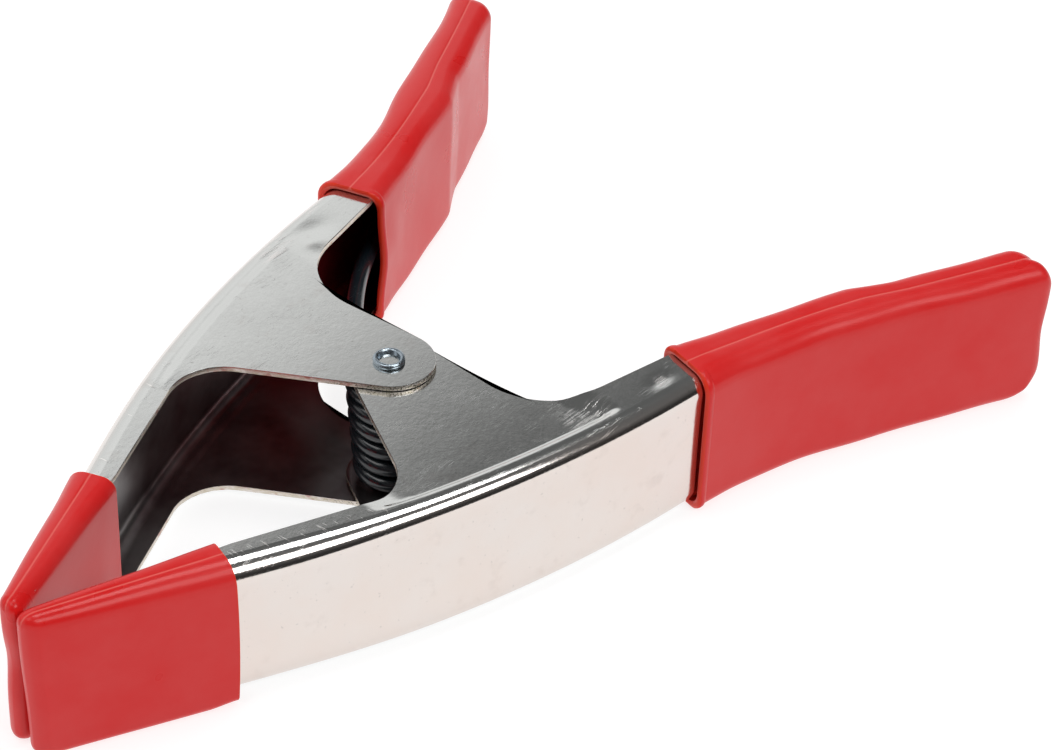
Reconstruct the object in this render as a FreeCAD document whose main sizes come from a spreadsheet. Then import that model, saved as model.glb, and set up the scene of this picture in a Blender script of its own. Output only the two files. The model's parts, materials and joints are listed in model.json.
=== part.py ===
import FreeCAD, Part
import math
import os

import Sketcher

# Spring clamp, two pressed steel channel arms on one rivet, closed by a torsion spring.
#
# Frame: the clamp lies on its side. +Z is the pivot's axis, the jaws point along -X, the grips
# along +X, the outer arm is on the +Y side and the inner arm on the -Y side. Every body is drawn
# about the pivot at mid-height, and its Placement then puts it into the part's frame, whose
# origin is below the middle of the whole clamp.
#
# The arms are mirror images in plan. Each one is a channel: a web, with a cheek above and below.
# The cheeks widen into ears at the pivot. The outer arm's ears are set outward and the inner
# arm's ears inward by a small joggle, so that one pair nests in the other.

V = FreeCAD.Vector

DIMENSIONS = {
    # sheet and channel
    "gauge": 1.2,
    "channel_half": 16.4,
    "bend_radius": 3.8,
    "joggle_out": 0.2,
    "joggle_in": 1.15,
    "joggle_step": 0.5,
    "crease_inset": 5.0,
    # plan line of the web: a straight jaw, a long bow, a short kick and a nearly straight grip
    "bow_centre_x": 69.5,
    "bow_centre_y": -250.0,
    "bow_radius": 305.0,
    "jaw_slope": 26.0,
    "kick_slope": 6.3,
    "kick_radius": 133.0,
    "grip_slope": 23.15,
    "grip_radius": 745.0,
    "jaw_end_x": -104.2,
    "grip_end_x": 118.8,
    # free edge of the cheeks, from the grip's end to the jaw's end
    "grip_edge_x": 120.2,
    "grip_edge_y": 75.35,
    "thumb_end_x": 93.5,
    "thumb_end_y": 62.4,
    "thumb_start_x": 84.6,
    "thumb_start_y": 57.0,
    "mouth_edge_x": 41.5,
    "mouth_edge_y": 42.0,
    "rear_corner_x": 8.0,
    "rear_corner_y": 34.9,
    "rear_corner_radius": 18.0,
    "front_corner_x": -28.1,
    "front_corner_y": 30.6,
    "front_corner_radius": 12.0,
    "tip_edge_x": -103.4,
    "tip_edge_y": 2.0,
    # ear and pivot
    "ear_centre_x": 0.7,
    "ear_radius": 9.4,
    "pivot_hole_radius": 2.8,
    "joggle_rear_x": 19.0,
    "joggle_front_x": -36.0,
    # rivet
    "shank_radius": 2.75,
    "head_radius": 3.35,
    "head_height": 1.1,
    "recess_radius": 2.25,
    "recess_depth": 2.4,
    # torsion spring
    "wire_radius": 1.9,
    "coil_radius": 6.5,
    "coil_rise": 21.8,
    "coil_turns": 5,
    "leg_root_slope": 43.0,
    "leg_root_run": 37.0,
    "leg_bend_radius": 90.0,
    "leg_slope": 28.5,
    "leg_end_run": 26.5,
    # dipped vinyl
    "vinyl_half": 18.0,
    "vinyl_wall": 1.35,
    "vinyl_gap": 0.15,
    "vinyl_edge_radius": 4.2,
    "rim_width": 1.6,
    "rim_height": 0.5,
    "cap_tip_x": -105.7,
    "cap_tip_radius": 2.0,
    "cap_edge_radius": 1.6,
    "cap_rear_outer_x": -69.3,
    "cap_rear_inner_x": -65.2,
    "cap_rear_inner_y": 13.3,
    "cap_meeting_gap": 0.1,
    "sleeve_mouth_x": 38.0,
    "sleeve_mouth_inner_x": 42.5,
    "sleeve_mouth_inner_y": 39.7,
    "sleeve_end_x": 121.0,
    # where the pivot stands in the part's frame
    "pivot_x": -8.15,
}

doc = FreeCAD.newDocument("spring_clamp")
sheet = doc.addObject("Spreadsheet::Sheet", "dims")
for row, (alias, value) in enumerate(DIMENSIONS.items(), start=1):
    sheet.set(f"A{row}", alias)
    sheet.set(f"B{row}", str(value))
    sheet.setAlias(f"B{row}", alias)
doc.recompute()
size = {alias: float(sheet.get(alias)) for alias in DIMENSIONS}

FAR = 45.0  # how far a cutting outline runs past the piece, so that it always clears it


def heading(degrees):
    """Unit vector in plan at an angle from +X."""
    return V(math.cos(math.radians(degrees)), math.sin(math.radians(degrees)), 0)


def left_of(degrees):
    """Unit vector square to a heading, on its left."""
    return V(-math.sin(math.radians(degrees)), math.cos(math.radians(degrees)), 0)


def crossing(p, q, x):
    """Point on the straight line through p and q at the given x."""
    return p + (q - p) * ((x - p.x) / (q.x - p.x))


def corner_tangents(before, corner, after, radius):
    """Start, end and centre of the arc that rounds a corner between two straight runs."""
    back = (before - corner).normalize()
    ahead = (after - corner).normalize()
    half_angle = back.getAngle(ahead) / 2
    run = radius / math.tan(half_angle)
    middle = (back + ahead).normalize()
    return corner + back * run, corner + ahead * run, corner + middle * (radius / math.sin(half_angle))


class WebLine:
    """The web's plan line moved inward by an inset, with its centres and its corner points."""

    def __init__(self, inset=0.0):
        self.inset = inset
        self.bow = V(size["bow_centre_x"], size["bow_centre_y"], 0)
        bow_radius = size["bow_radius"]
        self.kick = self.bow + left_of(size["kick_slope"]) * (bow_radius + size["kick_radius"])
        join = self.kick - left_of(size["grip_slope"]) * size["kick_radius"]
        self.grip = join + left_of(size["grip_slope"]) * size["grip_radius"]
        self.jaw_start = self.bow + left_of(size["jaw_slope"]) * (bow_radius - inset)
        self.kick_start = self.bow + left_of(size["kick_slope"]) * (bow_radius - inset)
        self.grip_start = self.kick - left_of(size["grip_slope"]) * (size["kick_radius"] + inset)

    def jaw_point(self, x):
        """Point of the straight jaw at x."""
        return crossing(self.jaw_start, self.jaw_start + heading(size["jaw_slope"]), x)

    def bow_point(self, x):
        """Point of the long bow at x."""
        radius = size["bow_radius"] - self.inset
        return V(x, self.bow.y + math.sqrt(radius**2 - (x - self.bow.x) ** 2), 0)

    def kick_point(self, x):
        """Point of the kick at x."""
        radius = size["kick_radius"] + self.inset
        return V(x, self.kick.y - math.sqrt(radius**2 - (x - self.kick.x) ** 2), 0)

    def grip_point(self, x):
        """Point of the grip at x."""
        radius = size["grip_radius"] + self.inset
        return V(x, self.grip.y - math.sqrt(radius**2 - (x - self.grip.x) ** 2), 0)


def origin_plane(body, role):
    """One of the body's own origin planes."""
    return next(f for f in body.Origin.OriginFeatures if f.Role == role)


class Outline:
    """A closed outline in a sketch of one body. side is +1 for the +Y arm and -1 for the -Y arm."""

    def __init__(self, body, name, side=1, role="XY_Plane", level=None):
        self.side = side
        self.sketch = body.newObject("Sketcher::SketchObject", name)
        self.sketch.AttachmentSupport = (origin_plane(body, role), [""])
        self.sketch.MapMode = "FlatFace"
        if level:
            self.sketch.setExpression(".AttachmentOffset.Base.z", level)
        self.ends = []  # (geometry, its head, its tail) in drawing order

    def place(self, point):
        """The point on this arm's side."""
        return V(point.x, point.y * self.side, 0)

    def line(self, start, end):
        """Straight run."""
        edge = self.sketch.addGeometry(Part.LineSegment(self.place(start), self.place(end)), False)
        self.ends.append((edge, 1, 2))
        return edge

    def arc(self, start, end, centre, radius=None):
        """Arc the short way round, its radius bound to the sheet where an expression is given."""
        start, end, centre = self.place(start), self.place(end), self.place(centre)
        first = math.atan2(start.y - centre.y, start.x - centre.x)
        last = math.atan2(end.y - centre.y, end.x - centre.x)
        forward = (start - centre).cross(end - centre).z > 0
        circle = Part.Circle(centre, V(0, 0, 1), (start - centre).Length)
        angles = (first, last) if forward else (last, first)
        edge = self.sketch.addGeometry(Part.ArcOfCircle(circle, *angles), False)
        self.ends.append((edge, 1, 2) if forward else (edge, 2, 1))
        if radius:
            self.bind("Radius", radius, edge, circle.Radius)
        return edge

    def circle(self, centre, radius, expression):
        """Full circle about a point, which stays fixed."""
        edge = self.sketch.addGeometry(Part.Circle(self.place(centre), V(0, 0, 1), radius), False)
        self.bind("Radius", expression, edge, radius)
        return edge

    def path(self, points):
        """Straight runs from point to point."""
        return [self.line(a, b) for a, b in zip(points, points[1:])]

    def bind(self, kind, expression, *values):
        """Constraint whose value follows a cell of the sheet."""
        index = self.sketch.addConstraint(Sketcher.Constraint(kind, *values))
        self.sketch.setExpression(f"Constraints[{index}]", expression)

    def pin(self, edge, alias):
        """Holds the head of an edge at the sheet's ALIAS_x, ALIAS_y."""
        head = next(e[1] for e in self.ends if e[0] == edge)
        sign = "" if self.side > 0 else "-"
        self.bind("DistanceX", f"dims.{alias}_x", edge, head, size[f"{alias}_x"])
        self.bind("DistanceY", f"{sign}dims.{alias}_y", edge, head, self.side * size[f"{alias}_y"])

    def close(self):
        """Joins each edge's tail to the next edge's head."""
        for (a, _, tail), (b, head, _) in zip(self.ends, self.ends[1:] + self.ends[:1]):
            self.sketch.addConstraint(Sketcher.Constraint("Coincident", a, tail, b, head))
        return self.sketch


def pad(body, sketch, name, length, side_type="Symmetric", reverse=False, taper=0.0):
    """Pad whose length follows the sheet."""
    feature = body.newObject("PartDesign::Pad", name)
    feature.Profile = sketch
    feature.SideType = side_type
    feature.Reversed = reverse
    feature.TaperAngle = taper
    feature.setExpression("Length", length)
    sketch.Visibility = False
    return feature


def pocket(body, sketch, name, length, side_type="Symmetric", reverse=False, taper=0.0):
    """Pocket whose depth follows the sheet."""
    feature = body.newObject("PartDesign::Pocket", name)
    feature.Profile = sketch
    feature.SideType = side_type
    feature.Reversed = reverse
    feature.TaperAngle = taper
    feature.setExpression("Length", length)
    return feature


def fillet(body, base, name, radius, wanted):
    """Rounds the edges of the base feature whose end points all satisfy wanted."""
    doc.recompute()
    names = [
        f"Edge{i}"
        for i, edge in enumerate(base.Shape.Edges, start=1)
        if len(edge.Vertexes) == 2 and all(wanted(v.Point) for v in edge.Vertexes)
    ]
    if not names:
        raise ValueError(f"{body.Label}: {name} found no edge to round")
    feature = body.newObject("PartDesign::Fillet", name)
    feature.Base = (base, names)
    feature.setExpression("Radius", radius)
    return feature


def on_any(points, side, half):
    """Test for a vertex that stands over one of these plan points at plus or minus half."""
    spots = [V(p.x, p.y * side, 0) for p in points]

    def test(vertex):
        level = abs(abs(vertex.z) - half) < 1e-3
        return level and any((V(vertex.x, vertex.y, 0) - spot).Length < 1e-3 for spot in spots)

    return test


def new_body(label):
    """Body named after its node, standing at the pivot's place in the part's frame."""
    body = doc.addObject("PartDesign::Body", label)
    body.Label = label
    body.setExpression(".Placement.Base.x", "dims.pivot_x")
    body.setExpression(".Placement.Base.z", "dims.vinyl_half")
    return body


def draw_free_edge(outline):
    """Free edge of a cheek, from the grip's end round the ear to the jaw's end."""
    grip_edge = V(size["grip_edge_x"], size["grip_edge_y"], 0)
    thumb_end = V(size["thumb_end_x"], size["thumb_end_y"], 0)
    thumb_start = V(size["thumb_start_x"], size["thumb_start_y"], 0)
    mouth = V(size["mouth_edge_x"], size["mouth_edge_y"], 0)
    rear_corner = V(size["rear_corner_x"], size["rear_corner_y"], 0)
    front_corner = V(size["front_corner_x"], size["front_corner_y"], 0)
    tip = V(size["tip_edge_x"], size["tip_edge_y"], 0)
    ear = V(size["ear_centre_x"], 0, 0)

    def touch(corner, turn):
        """Where the line from a corner touches the ear's end."""
        reach = corner - ear
        angle = math.degrees(math.atan2(reach.y, reach.x))
        swing = math.degrees(math.acos(size["ear_radius"] / reach.Length))
        return ear + heading(angle + turn * swing) * size["ear_radius"]

    rear_touch = touch(rear_corner, -1)
    front_touch = touch(front_corner, 1)
    rear = corner_tangents(mouth, rear_corner, rear_touch, size["rear_corner_radius"])
    front = corner_tangents(front_touch, front_corner, tip, size["front_corner_radius"])
    runs = outline.path([grip_edge, thumb_end, thumb_start, mouth, rear[0]])
    outline.arc(*rear, radius="dims.rear_corner_radius")
    outline.line(rear[1], rear_touch)
    # round the end of the ear on the side away from the web
    ear_end = ear - V(0, size["ear_radius"], 0)
    outline.arc(rear_touch, ear_end, ear, radius="dims.ear_radius")
    outline.arc(ear_end, front_touch, ear, radius="dims.ear_radius")
    outline.line(front_touch, front[0])
    outline.arc(*front, radius="dims.front_corner_radius")
    outline.line(front[1], tip)
    for edge, alias in zip(runs, ("grip_edge", "thumb_end", "thumb_start", "mouth_edge")):
        outline.pin(edge, alias)


def draw_web(outline, web, start, end, moved):
    """Web line from a jaw point to a grip point. moved is what its inset adds, as text."""
    outline.line(start, web.jaw_start)
    outline.arc(web.jaw_start, web.kick_start, web.bow, f"dims.bow_radius - ({moved})")
    outline.arc(web.kick_start, web.grip_start, web.kick, f"dims.kick_radius + ({moved})")
    outline.arc(web.grip_start, end, web.grip, f"dims.grip_radius + ({moved})")


def build_arm(label, side, joggle, outward):
    """One pressed arm: bent channel, joggled ears, cheeks trimmed to their outline, pivot hole."""
    body = new_body(label)
    web = WebLine()
    start = web.jaw_point(size["jaw_end_x"] - size["bend_radius"])
    end = web.grip_point(size["grip_end_x"] + size["bend_radius"])
    beyond = -size["ear_radius"] - size["bend_radius"]
    blank = Outline(body, f"{label}_blank", side)
    draw_web(blank, web, start, end, "0 * dims.gauge")
    blank.path([end, V(end.x, beyond, 0), V(start.x, beyond, 0), start])
    block = pad(body, blank.close(), f"{label}_block", "2 * dims.channel_half")
    corners = [start, web.jaw_start, web.kick_start, web.grip_start, end]
    outer_bends = on_any(corners, side, size["channel_half"])
    fillet(body, block, f"{label}_outer_bends", "dims.bend_radius", outer_bends)

    inner = WebLine(size["gauge"])
    hollow = Outline(body, f"{label}_hollow", side)
    inner_start = inner.jaw_point(start.x)
    inner_end = inner.grip_point(end.x)
    draw_web(hollow, inner, inner_start, inner_end, "dims.gauge")
    hollow.path([inner_end, V(end.x, beyond, 0), V(start.x, beyond, 0), inner_start])
    channel = pocket(
        body, hollow.close(), f"{label}_channel", "2 * (dims.channel_half - dims.gauge)"
    )
    corners = [inner_start, inner.jaw_start, inner.kick_start, inner.grip_start, inner_end]
    inner_bends = on_any(corners, side, size["channel_half"] - size["gauge"])
    fillet(body, channel, f"{label}_inner_bends", "dims.bend_radius - dims.gauge", inner_bends)

    add_joggle(body, label, side, joggle, outward)
    trim_cheeks(body, label, side)
    hole = Outline(body, f"{label}_pivot_circle", side)
    hole.circle(V(0, 0, 0), size["pivot_hole_radius"], "dims.pivot_hole_radius")
    body.Tip = pocket(body, hole.sketch, f"{label}_pivot_hole", "4 * dims.channel_half")
    return body


def trim_cheeks(body, label, side):
    """Cuts the channel's ends and everything past the cheeks' free edge."""
    web = WebLine()
    jaw_end = web.jaw_point(size["jaw_end_x"])
    grip_end = web.grip_point(size["grip_end_x"])
    tip = V(size["tip_edge_x"], size["tip_edge_y"], 0)
    grip_edge = V(size["grip_edge_x"], size["grip_edge_y"], 0)
    past_grip = grip_end + (grip_end - grip_edge) * 2
    past_jaw = jaw_end + (jaw_end - tip) * 2
    trim = Outline(body, f"{label}_trim", side)
    trim.line(past_grip, grip_edge)
    draw_free_edge(trim)
    trim.path(
        [
            tip,
            past_jaw,
            V(past_jaw.x - FAR, past_jaw.y, 0),
            V(past_jaw.x - FAR, -FAR, 0),
            V(past_grip.x + FAR, -FAR, 0),
            V(past_grip.x + FAR, past_grip.y, 0),
            past_grip,
        ]
    )
    return pocket(body, trim.close(), f"{label}_trimmed", "4 * dims.channel_half")


def draw_joggle_zone(outline, wider):
    """The part of a cheek that the joggle moves: everything nearer the pivot than the crease."""
    inset = size["crease_inset"] - wider
    crease = WebLine(inset)
    rear_x = size["joggle_rear_x"] + wider
    front_x = size["joggle_front_x"] - wider
    rear = crease.bow_point(rear_x)
    front = crease.bow_point(front_x)
    beyond = -size["ear_radius"] - size["crease_inset"]
    outline.arc(front, rear, crease.bow)
    outline.path([rear, V(rear_x, beyond, 0), V(front_x, beyond, 0), front])
    return outline.close()


def add_joggle(body, label, side, joggle, outward):
    """Shifts the ears by the joggle: each face moves by a pad or a pocket with sloping walls."""
    faces = (
        ("outer", "dims.channel_half", outward),
        ("inner", "dims.channel_half - dims.gauge", not outward),
    )
    for half, sign in (("upper", ""), ("lower", "-")):
        for face, level, grows in faces:
            name = f"{label}_{half}_{face}"
            zone = Outline(body, f"{name}_zone", side, level=f"{sign}({level})")
            sketch = draw_joggle_zone(zone, size["joggle_step"] if grows else 0.0)
            # outward is up on the upper cheek and down on the lower one
            upward = outward == (half == "upper")
            if grows:
                pad(body, sketch, f"{name}_rise", joggle, "One side", not upward, -45)
            else:
                pocket(body, sketch, f"{name}_sink", joggle, "One side", upward, -45)


def build_rivet():
    """Rivet with a rolled, recessed head at both ends."""
    body = new_body("pivot_rivet")
    seat = size["channel_half"] + size["joggle_out"]
    top = seat + size["head_height"]
    roll = size["head_radius"] - size["recess_radius"]
    points = [
        V(0, 0, 0),
        V(size["shank_radius"], 0, 0),
        V(size["shank_radius"], seat, 0),
        V(size["head_radius"], seat, 0),
        V(size["head_radius"], top - roll / 2, 0),
        V(size["recess_radius"], top - roll / 2, 0),
        V(size["recess_radius"], top - size["recess_depth"], 0),
        V(0, top - size["recess_depth"] - roll, 0),
        V(0, 0, 0),
    ]
    half = Outline(body, "rivet_half_section", role="XZ_Plane")
    edges = half.path(points[:5])
    half.arc(points[4], V(points[4].x - roll / 2, top, 0), V(points[4].x - roll / 2, points[4].y, 0))
    half.arc(V(points[4].x - roll / 2, top, 0), points[5], V(points[4].x - roll / 2, points[4].y, 0))
    half.path(points[5:])
    half.bind("DistanceX", "dims.shank_radius", edges[1], 1, size["shank_radius"])
    half.bind("DistanceX", "dims.head_radius", edges[3], 1, size["head_radius"])
    sketch = half.close()
    turned = body.newObject("PartDesign::Revolution", "rivet_turned")
    turned.Profile = sketch
    turned.ReferenceAxis = (sketch, ["V_Axis"])
    turned.Angle = 360
    doc.recompute()
    mirrored = body.newObject("PartDesign::Mirrored", "rivet_other_end")
    mirrored.Originals = [turned]
    mirrored.MirrorPlane = (origin_plane(body, "XY_Plane"), [""])
    body.Tip = mirrored
    return body


def spring_line():
    """Centre line of the wire: leg, flat lead-in, climbing half turns, flat lead-out, leg."""
    radius = size["coil_radius"]
    root, leg = size["leg_root_slope"], size["leg_slope"]
    half_turns = int(2 * size["coil_turns"])
    step = size["coil_rise"] / half_turns
    top = V(0, 0, size["coil_rise"] / 2)

    def leg_edges(side, level):
        """The straight root, the bend and the straight end of one leg, from the coil outward."""

        def spot(point):
            return V(point.x, point.y * side, level.z)

        start = left_of(root) * radius
        knee = start + heading(root) * size["leg_root_run"]
        centre = knee - left_of(root) * size["leg_bend_radius"]
        middle = centre + left_of((root + leg) / 2) * size["leg_bend_radius"]
        bend_end = centre + left_of(leg) * size["leg_bend_radius"]
        end = bend_end + heading(leg) * size["leg_end_run"]
        return [
            Part.LineSegment(spot(start), spot(knee)).toShape(),
            Part.Arc(spot(knee), spot(middle), spot(bend_end)).toShape(),
            Part.LineSegment(spot(bend_end), spot(end)).toShape(),
        ]

    # the coil runs clockwise from the lower leg, on the -Y side, up to the upper leg
    lower = -top
    start = -(90 + root)
    edges = leg_edges(-1, lower)
    edges.append(
        Part.Arc(
            heading(start) * radius + lower,
            heading((start - 180) / 2) * radius + lower,
            heading(-180) * radius + lower,
        ).toShape()
    )
    for turn in range(half_turns):
        here = lower + V(0, 0, turn * step)
        near = V(-radius, 0, 0) if turn % 2 == 0 else V(radius, 0, 0)
        swing = V(0, math.hypot(radius, step / 2) * (1 if turn % 2 == 0 else -1), step / 2)
        edges.append(Part.Arc(near + here, swing + here, -near + here + V(0, 0, step)).toShape())
    edges.append(
        Part.Arc(
            heading(180) * radius + top,
            heading((180 + 90 + root) / 2) * radius + top,
            heading(90 + root) * radius + top,
        ).toShape()
    )
    edges.extend(leg_edges(1, top))
    return Part.Wire(Part.__sortEdges__(edges))


def build_spring():
    """Round wire swept along its centre line."""
    wire = spring_line()
    line = doc.addObject("Part::Feature", "spring_line")
    line.Shape = wire
    tip = wire.Edges[0]
    first = tip.valueAt(tip.FirstParameter)
    along = tip.tangentAt(tip.FirstParameter)
    section = doc.addObject("Part::Circle", "wire_section")
    section.setExpression("Radius", "dims.wire_radius")
    section.Placement = FreeCAD.Placement(first, FreeCAD.Rotation(V(0, 0, 1), along))
    sweep = doc.addObject("Part::Sweep", "torsion_spring")
    sweep.Label = "torsion_spring"
    sweep.Sections = [section]
    sweep.Spine = (line, [])
    sweep.Solid = True
    sweep.Frenet = False
    sweep.setExpression(".Placement.Base.x", "dims.pivot_x")
    sweep.setExpression(".Placement.Base.z", "dims.vinyl_half")
    return sweep


def build_cap(label, side):
    """Dipped vinyl cap over one jaw, open at its rear."""
    body = new_body(label)
    cover = size["vinyl_gap"] + size["vinyl_wall"]
    gap = size["cap_meeting_gap"] / 2
    web = WebLine(-cover)
    rear_outer = web.jaw_point(size["cap_rear_outer_x"])
    rear_inner = V(size["cap_rear_inner_x"], size["cap_rear_inner_y"], 0)
    tip_outer = web.jaw_point(size["cap_tip_x"])
    tip_inner = V(size["cap_tip_x"], gap, 0)
    bite = V(size["tip_edge_x"], gap, 0)
    skin = Outline(body, f"{label}_plan", side)
    skin.path([tip_outer, rear_outer, rear_inner, bite, tip_inner, tip_outer])
    block = pad(body, skin.close(), f"{label}_block", "2 * dims.vinyl_half")
    tip_corner = on_any([tip_outer], side, size["vinyl_half"])
    nose = fillet(body, block, f"{label}_nose", "dims.cap_tip_radius", tip_corner)
    half = size["vinyl_half"]

    def rim_of_block(vertex):
        """A vertex of the top or bottom face."""
        return abs(abs(vertex.z) - half) < 1e-3

    doc.recompute()
    long_edges = [
        f"Edge{i}"
        for i, edge in enumerate(nose.Shape.Edges, start=1)
        if all(rim_of_block(v.Point) for v in edge.Vertexes)
        and abs(edge.Vertexes[0].Point.z - edge.Vertexes[-1].Point.z) < 1e-3
        and edge.CenterOfMass.x < size["cap_rear_outer_x"]
    ]
    soft = body.newObject("PartDesign::Fillet", f"{label}_soft_edges")
    soft.Base = (nose, long_edges)
    soft.setExpression("Radius", "dims.cap_edge_radius")

    inner = WebLine(-size["vinyl_gap"])
    wall = size["vinyl_wall"]
    along = (rear_inner - bite).normalize()
    inward = V(-along.y, along.x, 0) * wall
    mouth = inner.jaw_point(size["cap_rear_outer_x"] + FAR)
    nose_x = size["cap_tip_x"] + wall
    slit_start = crossing(bite + inward, rear_inner + inward, nose_x)
    slit_end = crossing(bite + inward, rear_inner + inward, size["cap_rear_inner_x"] + FAR)
    cavity = Outline(body, f"{label}_cavity", side)
    cavity.path([inner.jaw_point(nose_x), mouth, slit_end, slit_start, inner.jaw_point(nose_x)])
    body.Tip = pocket(
        body, cavity.close(), f"{label}_hollow", "2 * (dims.vinyl_half - dims.vinyl_wall)"
    )
    return body


def build_sleeve(label, side):
    """Dipped vinyl sleeve over one grip, open at its mouth, with a rolled rim."""
    body = new_body(label)
    cover = size["vinyl_gap"] + size["vinyl_wall"]
    mouth_inner = V(size["sleeve_mouth_inner_x"], size["sleeve_mouth_inner_y"], 0)
    thumb_start = V(size["thumb_start_x"], size["thumb_start_y"], 0)
    thumb_end = V(size["thumb_end_x"], size["thumb_end_y"], 0)
    grip_edge = V(size["grip_edge_x"], size["grip_edge_y"], 0)
    down = -left_of(size["grip_slope"])

    def draw_sleeve(name, web, inset, first_x, mouth_edge, end_x):
        """Plan of the sleeve's skin or of its cavity: the web side, the end, the inner side."""
        plan = Outline(body, name, side)
        start = web.kick_point(first_x)
        end = web.grip_point(end_x)
        inner_points = [p + down * inset for p in (grip_edge, thumb_end, thumb_start)]
        inner_points[0] = V(end_x + 1.0, inner_points[0].y, 0)
        plan.arc(start, web.grip_start, web.kick)
        plan.arc(web.grip_start, end, web.grip)
        plan.path([end, *inner_points, mouth_edge, start])
        return plan.close(), [start, web.grip_start, end, *inner_points, mouth_edge]

    web = WebLine(-cover)
    plan, corners = draw_sleeve(
        f"{label}_plan", web, cover, size["sleeve_mouth_x"], mouth_inner, size["sleeve_end_x"]
    )
    block = pad(body, plan, f"{label}_block", "2 * dims.vinyl_half")
    # everything but the mouth is rounded
    half = size["vinyl_half"]
    doc.recompute()
    mouth_x = mouth_inner.x
    soft_edges = [
        f"Edge{i}"
        for i, edge in enumerate(block.Shape.Edges, start=1)
        if all(abs(abs(v.Point.z) - half) < 1e-3 for v in edge.Vertexes)
        and abs(edge.Vertexes[0].Point.z - edge.Vertexes[-1].Point.z) < 1e-3
        and edge.CenterOfMass.x > mouth_x
    ]
    soft = body.newObject("PartDesign::Fillet", f"{label}_soft_edges")
    soft.Base = (block, soft_edges)
    soft.setExpression("Radius", "dims.vinyl_edge_radius")

    # rolled rim at the mouth, proud of both sides
    across = (corners[0] - mouth_inner).normalize()
    along = V(across.y, -across.x, 0) * size["rim_width"]
    outer_rim = corners[0] + across * size["rim_height"]
    inner_rim = mouth_inner - across * size["rim_height"]
    rim_corners = [outer_rim, outer_rim + along, inner_rim + along, inner_rim]
    rim = Outline(body, f"{label}_rim_plan", side)
    rim.path([*rim_corners, outer_rim])
    straight = "2 * (dims.vinyl_half - dims.vinyl_edge_radius)"
    pad(body, rim.close(), f"{label}_rim", straight)

    wall = size["vinyl_wall"]
    inner = WebLine(-size["vinyl_gap"])
    slit = mouth_inner + (mouth_inner - thumb_start - down * cover).normalize() * 4
    slit = slit - down * wall
    cavity, _ = draw_sleeve(
        f"{label}_cavity",
        inner,
        cover - wall,
        size["sleeve_mouth_x"] - 3,
        slit,
        size["sleeve_end_x"] - wall,
    )
    body.Tip = pocket(body, cavity, f"{label}_hollow", "2 * (dims.vinyl_half - dims.vinyl_wall)")
    return body


def report(objects):
    """Stops if anything failed or is not one sound solid."""
    doc.recompute()
    for item in doc.Objects:
        if "Invalid" in item.State or "Error" in item.State:
            raise RuntimeError(f"{item.Label} failed: {item.State}")
    for item in objects:
        if item.Shape.isNull() or not item.Shape.isValid() or not item.Shape.Solids:
            raise RuntimeError(f"{item.Label} is not a sound solid")
        box = item.Shape.BoundBox
        print(
            f"{item.Label}: {len(item.Shape.Solids)} solid, {item.Shape.Volume:.0f} mm3, "
            f"X {box.XMin:.2f} {box.XMax:.2f} Y {box.YMin:.2f} {box.YMax:.2f} "
            f"Z {box.ZMin:.2f} {box.ZMax:.2f}"
        )


nodes = [
    build_arm("outer_arm", 1, "dims.joggle_out", True),
    build_arm("inner_arm", -1, "dims.joggle_in", False),
    build_rivet(),
    build_spring(),
    build_cap("outer_jaw_cap", 1),
    build_cap("inner_jaw_cap", -1),
    build_sleeve("outer_handle_sleeve", 1),
    build_sleeve("inner_handle_sleeve", -1),
]
report(nodes)
os.makedirs("parts", exist_ok=True)
for node in nodes:
    node.Shape.exportStep(f"parts/{node.Label}.step")
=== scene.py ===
import json
import math

import bmesh
import bpy
import numpy as np
from bpy.props import FloatProperty, FloatVectorProperty, IntProperty, PointerProperty
from mathutils import Matrix, Vector


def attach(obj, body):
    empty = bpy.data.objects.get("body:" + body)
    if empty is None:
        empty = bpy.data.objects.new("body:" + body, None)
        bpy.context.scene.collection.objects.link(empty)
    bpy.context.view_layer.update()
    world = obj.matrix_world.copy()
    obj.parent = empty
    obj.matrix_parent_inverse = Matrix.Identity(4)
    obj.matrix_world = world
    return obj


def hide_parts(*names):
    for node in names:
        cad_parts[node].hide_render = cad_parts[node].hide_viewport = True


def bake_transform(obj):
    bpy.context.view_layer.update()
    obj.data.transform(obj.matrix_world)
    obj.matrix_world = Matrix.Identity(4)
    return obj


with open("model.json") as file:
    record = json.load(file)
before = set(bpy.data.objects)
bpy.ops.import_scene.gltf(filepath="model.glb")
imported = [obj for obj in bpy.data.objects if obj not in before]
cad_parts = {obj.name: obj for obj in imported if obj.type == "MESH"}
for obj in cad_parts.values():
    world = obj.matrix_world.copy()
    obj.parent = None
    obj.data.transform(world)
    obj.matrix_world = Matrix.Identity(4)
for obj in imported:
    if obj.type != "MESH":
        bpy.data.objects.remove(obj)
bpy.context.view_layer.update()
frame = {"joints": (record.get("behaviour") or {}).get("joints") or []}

bl_info = {
    "name": "Spring Clamp",
    "version": (1, 0, 0),
    "blender": (4, 5, 0),
    "location": "3D View > Sidebar > Spring Clamp",
    "description": "Builds the visible pieces of a pressed steel spring clamp over its CAD frame",
    "category": "Object",
}

# The clamp lies on its side. Shapes are worked out in millimetres about the pivot at mid-height:
# jaws along -X, grips along +X, outer arm on the +Y side, and the inner arm its mirror image.
PIVOT_X = frame["joints"][0]["pos_m"][0] * 1000
MID_Z = frame["joints"][0]["pos_m"][2] * 1000
OUTER_BODY = "outer_side"
INNER_BODY = "inner_side"

RIVET_FACETS = 64
WIRE_FACETS = 20
END_ROUNDING = 0.92  # share of its radius by which a cover's closed end draws in


# ---------------------------------------------------------------- sizes and colours


def metres(name, description, default):
    """Property that holds a length."""
    return FloatProperty(
        name=name, description=description, default=default, unit="LENGTH", precision=5
    )


def tint(name, description, default):
    """Property that holds a colour."""
    return FloatVectorProperty(
        name=name, description=description, default=default, subtype="COLOR", size=3
    )


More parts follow.
